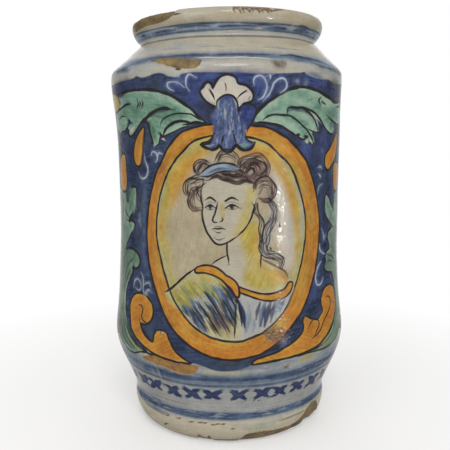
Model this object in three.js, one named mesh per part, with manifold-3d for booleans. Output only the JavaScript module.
// A tin-glazed earthenware storage jar of the waisted albarello kind, in millimetres, +Z up.
// It stands on its foot ring at z = 0, the axis of the pot is Z, and its painted front faces -Y.
// Three layers make the pot: the thrown clay body, the white glaze on its outside, and the lining
// of its inside.

import * as THREE from "three";
import { TessellateModifier } from "three/addons/modifiers/TessellateModifier.js";
import { mergeVertices } from "three/addons/utils/BufferGeometryUtils.js";
import Module from "manifold-3d";

const wasm = await Module();
wasm.setup();

const { lerp, mapLinear, smoothstep } = THREE.MathUtils;

// Outside form. Levels below the waist are measured up from the floor and drops down from the top
// of the rim, so the waisted wall takes up a change of height. Insets, the groove's depth and the
// rim's overhang are measured from the radius beside them.
const height = 300.7;
const foot = { bulgeRadius: 75.4, bulgeLevel: 18, edgeInset: 11.9, grooveDepth: 0.6, grooveLevel: 23.5 };
const lowerBelly = { radius: 89.3, level: 70 };
const waist = { radius: 84.2, level: 164 };
const upperBelly = { radius: 86.9, underShoulder: 8 };
const shoulder = { inset: 3.3, drop: 34.7, roundBelow: 4.5, roundAbove: 3 };
const neck = { radius: 65.3, drop: 16.9, hollow: 1.8 };
const rim = { overhang: 6, drop: 5.9, lipWidth: 8.4, flareReach: 2, crownReach: 0.9, innerReach: 0.6 };

// Inside form: the wall's thickness at each station, and the floor with its rounded corner.
const wall = { belly: 8, waist: 7.6, shoulder: 7.2, neck: 6.6 };
const floorThickness = 11;
const floorCorner = { radius: 17, rise: 19, draft: 3 };
const throwingRing = 0.5;

// Underside: a flat ring that the pot stands on, round a shallow turned hollow.
const base = { ringWidth: 15.5, hollowDepth: 2.6, hollowSlope: 7 };

// Glaze coats, the clearances that keep the three layers apart, and where the outer coat ends
// above the floor.
const outerCoat = 0.7;
const innerCoat = 0.6;
const bond = 0.3;
const seam = 0.4;
const glazeHem = 2.2;

// Shares of a rise over which the wall runs on upright at its lower and its upper end.
const ease = {
  footFlare: [0.22, 0.34],
  lowerBody: [0.14, 0.73],
  upperBody: [0.85, 0.17],
  insideFlare: [0.12, 0.4],
};

// The pot left the wheel slightly out of true: sideways shifts of its axis, and the lean of its rim.
const sway = {
  footBulge: -0.5,
  footFlare: -0.15,
  lowerBelly: -0.45,
  lowerWaist: -0.5,
  waist: 0.15,
  upperWaist: 0.15,
  upperBelly: -1.25,
  shoulder: -1.2,
  neck: -0.25,
  rim: -0.35,
};
const rimLean = 0.4;

// Old damage. A place on the wall is [arc, level], where the arc is millimetres round the waist from
// the middle of the front and grows towards +X.
const glazeLosses = {
  shoulder: [[-54, 267], [-40, 268], [-27, 266.5], [-16, 265], [-18, 260.5], [-34, 260.8], [-44, 264]],
  shoulderSpot: [[29, 264.5], [38, 265], [37, 261], [32, 259.8]],
  belly: [[-66, 61.5], [-55, 66.5], [-37, 64.5], [-21, 63.5], [-24, 58], [-33, 56], [-48, 59.5]],
  footLeft: [[-29, -2], [-27, 7], [-21, 4.5], [-17.5, 7], [-16, -2]],
  footRight: [
    [3, 0], [13, 8.5], [27, 9.5], [44, 9], [60, 10], [76, 18.5], [88, 18], [97, 9], [108, 0], [56, -9],
  ],
};
const lossReach = 5;
const lossFacet = 14;
const lossSplits = 8;

const rimChip = { from: -118, to: -56, count: 4, along: 20, up: 8, depth: 1.7, drop: 4.8 };
const lipNibbles = { from: 8, to: 33, count: 3, along: 6, up: 2.6, depth: 0.9, drop: 0.6 };
const footChips = [
  { arc: 17, level: 4.5, along: 9, up: 8, depth: 1.6 },
  { arc: 40, level: 4.5, along: 11, up: 8, depth: 1.8 },
  { arc: 62, level: 4.5, along: 9, up: 9, depth: 2 },
  { arc: 81, level: 4.5, along: 12, up: 16, depth: 1.8 },
];
const flakeBulge = 5;
const flakeUnevenness = 0.2;
const flakeBeat = 2.4;

// Facets round the pot and along its curves, and how near two corners are one.
const aroundCount = 40;
const flakeFacets = { around: 12, up: 8 };
const weld = 1e-4;

const neckLevel = height - neck.drop;
const rimLevel = height - rim.drop;
const shoulderLevel = height - shoulder.drop;
const upperBellyLevel = shoulderLevel - upperBelly.underShoulder;

const edgeRadius = foot.bulgeRadius - foot.edgeInset;
const grooveRadius = foot.bulgeRadius - foot.grooveDepth;
const shoulderRadius = upperBelly.radius - shoulder.inset;
const rimRadius = neck.radius + rim.overhang;

const at = (radius, level) => new THREE.Vector2(radius, level);

// A smooth rise between two upright ends.
function rise(low, high, [lowEase, highEase]) {
  const climb = high.y - low.y;
  return new THREE.CubicBezierCurve(
    low,
    at(low.x, low.y + lowEase * climb),
    at(high.x, high.y - highEase * climb),
    high,
  );
}

// The wall from the lower belly to the hollow of the neck, drawn inwards by a thickness at each of
// its stations.
function wallCurves(thickness) {
  const belly = at(lowerBelly.radius - thickness.belly, lowerBelly.level);
  const middle = at(waist.radius - thickness.waist, waist.level);
  const upper = at(upperBelly.radius - thickness.shoulder, upperBellyLevel);
  const corner = at(shoulderRadius - thickness.shoulder, shoulderLevel);
  const throat = at(neck.radius - thickness.neck, neckLevel);
  const slope = throat.clone().sub(corner).normalize();
  const cornerRound = new THREE.CubicBezierCurve(
    upper,
    at(upper.x, upper.y + shoulder.roundBelow),
    corner.clone().addScaledVector(slope, -shoulder.roundAbove),
    corner,
  );
  const throatStart = throat.clone().addScaledVector(slope, -neck.hollow);
  return [
    { curve: rise(belly, middle, ease.lowerBody), steps: 4 },
    { curve: rise(middle, upper, ease.upperBody), steps: 4 },
    { curve: cornerRound, steps: 3 },
    { curve: new THREE.LineCurve(corner, throatStart), steps: 1 },
    { curve: new THREE.QuadraticBezierCurve(throatStart, throat, lipFoot(thickness)), steps: 2 },
  ];
}

// Where the neck's hollow ends and the lip begins to flare.
function lipFoot(thickness) {
  return at(neck.radius - thickness.neck + neck.hollow / 2, neckLevel + neck.hollow);
}

const noThickness = { belly: 0, waist: 0, shoulder: 0, neck: 0 };
const crown = at(rimRadius - rim.lipWidth / 2, height);

// The outside from the foot's lower edge up to the crown of the lip.
function outsideCurves() {
  const footRound = new THREE.EllipseCurve(
    edgeRadius,
    foot.bulgeLevel,
    foot.edgeInset,
    foot.bulgeLevel,
    -Math.PI / 2,
    0,
  );
  const groove = at(grooveRadius, foot.grooveLevel);
  const lip = new THREE.CubicBezierCurve(
    lipFoot(noThickness),
    at(rimRadius + rim.flareReach, rimLevel - rim.flareReach),
    at(rimRadius + rim.crownReach, height),
    crown,
  );
  return [
    { curve: footRound, steps: 4 },
    { curve: new THREE.LineCurve(at(foot.bulgeRadius, foot.bulgeLevel), groove), steps: 1 },
    { curve: rise(groove, at(lowerBelly.radius, lowerBelly.level), ease.footFlare), steps: 4 },
    ...wallCurves(noThickness),
    { curve: lip, steps: 5 },
  ];
}

// The inside from the crown of the lip down to the middle of the floor.
function insideCurves() {
  const lipEnd = lipFoot(wall);
  const lip = new THREE.CubicBezierCurve(
    crown,
    at(rimRadius - rim.lipWidth, height),
    at(lipEnd.x + rim.innerReach, rimLevel),
    lipEnd,
  );
  const belly = at(lowerBelly.radius - wall.belly, lowerBelly.level);
  const cornerTop = at(grooveRadius - wall.belly, floorThickness + floorCorner.rise);
  const cornerEnd = at(cornerTop.x - floorCorner.radius, floorThickness);
  const corner = new THREE.QuadraticBezierCurve(
    cornerTop,
    at(cornerTop.x - floorCorner.draft, floorThickness),
    cornerEnd,
  );
  const upwards = [{ curve: rise(cornerTop, belly, ease.insideFlare), steps: 2 }, ...wallCurves(wall)];
  return [
    { curve: lip, steps: 3 },
    ...upwards.reverse().map((piece) => ({ ...piece, downwards: true })),
    { curve: corner, steps: 3 },
    { curve: new THREE.LineCurve(cornerEnd, at(0, floorThickness)), steps: 1 },
  ];
}

// Samples joined curves into one list of points without repeating the joints.
function sample(pieces) {
  const points = [];
  for (const { curve, steps, downwards } of pieces) {
    const run = curve.getPoints(steps);
    if (downwards) run.reverse();
    if (points.length > 0) run.shift();
    points.push(...run);
  }
  return points;
}

// Adds the point where a rising outline passes a level.
function withPointAt(points, level) {
  const next = points.findIndex((point) => point.y > level);
  const share = mapLinear(level, points[next - 1].y, points[next].y, 0, 1);
  const added = points[next - 1].clone().lerp(points[next], share);
  return [...points.slice(0, next), added, ...points.slice(next)];
}

// Fingers leave shallow rings on the inside of a thrown wall.
function withThrowingRings(points) {
  const lowest = floorThickness + floorCorner.rise;
  return points.map((point, i) => {
    const ringed = point.y > lowest && point.y < shoulderLevel;
    const ripple = i % 2 === 0 ? throwingRing / 2 : -throwingRing / 2;
    return ringed ? at(point.x + ripple, point.y) : point;
  });
}

// Moves each point of an open outline to the left of its direction of travel, which is into the clay.
function intoClay(points, distance) {
  return points.map((point, i) => {
    const before = points[Math.max(i - 1, 0)];
    const after = points[Math.min(i + 1, points.length - 1)];
    const along = after.clone().sub(before).normalize();
    return at(Math.max(point.x - along.y * distance, 0), point.y + along.x * distance);
  });
}

// The finished surface in one outline: up the outside, over the lip and down the inside to the floor.
// The two glazes meet at its first point inside the lip.
const outside = withPointAt(sample(outsideCurves()), glazeHem);
const inside = withThrowingRings(sample(insideCurves()));
const surface = [...outside, ...inside.slice(1)];
const meeting = outside.length;

function outsideRadius(level) {
  const above = outside.findIndex((point) => point.y >= level);
  if (above <= 0) return outside[0].x;
  return mapLinear(level, outside[above - 1].y, outside[above].y, outside[above - 1].x, outside[above].x);
}

// Shifts the points of the true pot to where the uneven pot has them.
function settle(position) {
  const halfway = (low, high) => (low + high) / 2;
  const stations = [
    [0, 0],
    [foot.bulgeLevel, sway.footBulge],
    [halfway(foot.grooveLevel, lowerBelly.level), sway.footFlare],
    [lowerBelly.level, sway.lowerBelly],
    [halfway(lowerBelly.level, waist.level), sway.lowerWaist],
    [waist.level, sway.waist],
    [halfway(waist.level, upperBellyLevel), sway.upperWaist],
    [upperBellyLevel, sway.upperBelly],
    [shoulderLevel, sway.shoulder],
    [neckLevel, sway.neck],
    [rimLevel, sway.rim],
  ];
  for (let i = 0; i < position.count; i += 1) {
    const level = position.getZ(i);
    const [lowLevel, lowShift] = stations.filter((station) => station[0] <= level).pop() ?? stations[0];
    const [highLevel, highShift] = stations.find((station) => station[0] > level) ?? [level + 1, lowShift];
    const shift = lerp(lowShift, highShift, smoothstep(level, lowLevel, highLevel));
    const lean = rimLean * smoothstep(level, upperBellyLevel, neckLevel);
    position.setZ(i, level + (lean * position.getX(i)) / rimRadius);
    position.setX(i, position.getX(i) + shift);
  }
}

// A closed geometry as a solid: corners are merged, and triangles without area are left out.
function toSolid(geometry) {
  const bare = geometry.clone();
  bare.deleteAttribute("normal");
  bare.deleteAttribute("uv");
  const merged = mergeVertices(bare, weld);
  const corners = merged.index.array;
  const triVerts = [];
  for (let i = 0; i < corners.length; i += 3) {
    const [a, b, c] = corners.slice(i, i + 3);
    if (a !== b && b !== c && c !== a) triVerts.push(a, b, c);
  }
  const vertProperties = merged.getAttribute("position").array;
  const mesh = new wasm.Mesh({ numProp: 3, vertProperties, triVerts: new Uint32Array(triVerts) });
  return new wasm.Manifold(mesh);
}

// Turns a closed outline of radius and level about Z. One that starts on the axis also ends there.
function revolve(outline) {
  const startsOnAxis = outline[0].x === 0;
  const turned = new THREE.LatheGeometry(startsOnAxis ? outline : [...outline, outline[0]], aroundCount);
  turned.rotateX(Math.PI / 2);
  settle(turned.getAttribute("position"));
  return toSolid(turned);
}

// A closed outline on the wall, as a slab that is bent round the pot and passes right through its glaze.
function lossCutter(outline) {
  const corners = outline.map(([arc, level]) => new THREE.Vector3(arc, level, 0));
  const ring = new THREE.CatmullRomCurve3(corners, true).getPoints(outline.length * 2);
  const shape = new THREE.Shape(ring.map(({ x, y }) => at(x, y)));
  const flatSlab = new THREE.ExtrudeGeometry(shape, { depth: 2 * lossReach, bevelEnabled: false });
  const slab = new TessellateModifier(lossFacet, lossSplits).modify(flatSlab);
  const position = slab.getAttribute("position");
  for (let i = 0; i < position.count; i += 1) {
    const angle = position.getX(i) / waist.radius;
    const level = position.getY(i);
    const radius = outsideRadius(level) + position.getZ(i) - lossReach;
    position.setXYZ(i, radius * Math.sin(angle), -radius * Math.cos(angle), level);
  }
  settle(position);
  return toSolid(slab);
}

// A shell-shaped bite: a flattened ball that dips below the surface by its depth.
function flakeCutter({ arc, level, along, up, depth }) {
  const ball = new THREE.SphereGeometry(1, flakeFacets.around, flakeFacets.up);
  ball.scale(along, flakeBulge, up);
  ball.translate(0, depth - outsideRadius(level) - flakeBulge, level);
  ball.rotateZ(arc / waist.radius);
  settle(ball.getAttribute("position"));
  return toSolid(ball);
}

// A run of bites along the rim, each a little deeper or shallower than the last.
function rimFlakes({ from, to, count, along, up, depth, drop }) {
  return Array.from({ length: count }, (_, i) => {
    const arc = mapLinear(i, 0, count - 1, from, to);
    const uneven = 1 + flakeUnevenness * Math.cos(flakeBeat * i);
    return flakeCutter({ arc, level: height - drop, along, up: up * uneven, depth: depth * uneven });
  });
}

const chips = [...rimFlakes(rimChip), ...rimFlakes(lipNibbles), ...footChips.map(flakeCutter)];

const without = (solid, cutters) => cutters.reduce((rest, cutter) => rest.subtract(cutter), solid);

function clayBody() {
  const ringOuter = edgeRadius - outerCoat - bond;
  const ringInner = ringOuter - base.ringWidth;
  const underside = [
    at(0, base.hollowDepth),
    at(ringInner - base.hollowSlope, base.hollowDepth),
    at(ringInner, 0),
    at(ringOuter, 0),
  ];
  const outer = intoClay(surface, outerCoat + bond).slice(0, meeting + 1);
  const inner = intoClay(surface, innerCoat + bond).slice(meeting + 1);
  return without(revolve([...underside, ...outer, ...inner]), chips);
}

function outerGlaze() {
  const hem = surface.findIndex((point) => point.y >= glazeHem);
  const front = surface.slice(hem, meeting + 1);
  const back = intoClay(surface, outerCoat).slice(hem, meeting + 1);
  const losses = Object.values(glazeLosses).map(lossCutter);
  return without(revolve([...front, ...back.reverse()]), [...losses, ...chips]);
}

// The lining starts a seam's width below the outer glaze.
function innerGlaze() {
  const lowered = (points) => {
    const start = points[0].clone();
    start.addScaledVector(points[1].clone().sub(start).normalize(), seam);
    return [start, ...points.slice(1)];
  };
  const front = lowered(surface.slice(meeting));
  const back = lowered(intoClay(surface, innerCoat).slice(meeting));
  return revolve([...back.reverse(), ...front]);
}

function toMesh(name, solid, material) {
  const { vertProperties, triVerts } = solid.getMesh();
  const geometry = new THREE.BufferGeometry();
  geometry.setAttribute("position", new THREE.BufferAttribute(vertProperties, 3));
  geometry.setIndex(new THREE.BufferAttribute(triVerts, 1));
  geometry.computeVertexNormals();
  const mesh = new THREE.Mesh(geometry, material);
  mesh.name = name;
  return mesh;
}

const firedClay = new THREE.MeshStandardMaterial({ color: 0x9a7a55, roughness: 0.9, metalness: 0 });
const tinGlaze = new THREE.MeshStandardMaterial({ color: 0xd8d0bd, roughness: 0.25, metalness: 0 });
const leadGlaze = new THREE.MeshStandardMaterial({ color: 0xc9b78a, roughness: 0.3, metalness: 0 });

const jar = new THREE.Group();
jar.add(toMesh("clay_body", clayBody(), firedClay));
jar.add(toMesh("outer_glaze", outerGlaze(), tinGlaze));
jar.add(toMesh("inner_glaze", innerGlaze(), leadGlaze));

export default jar;
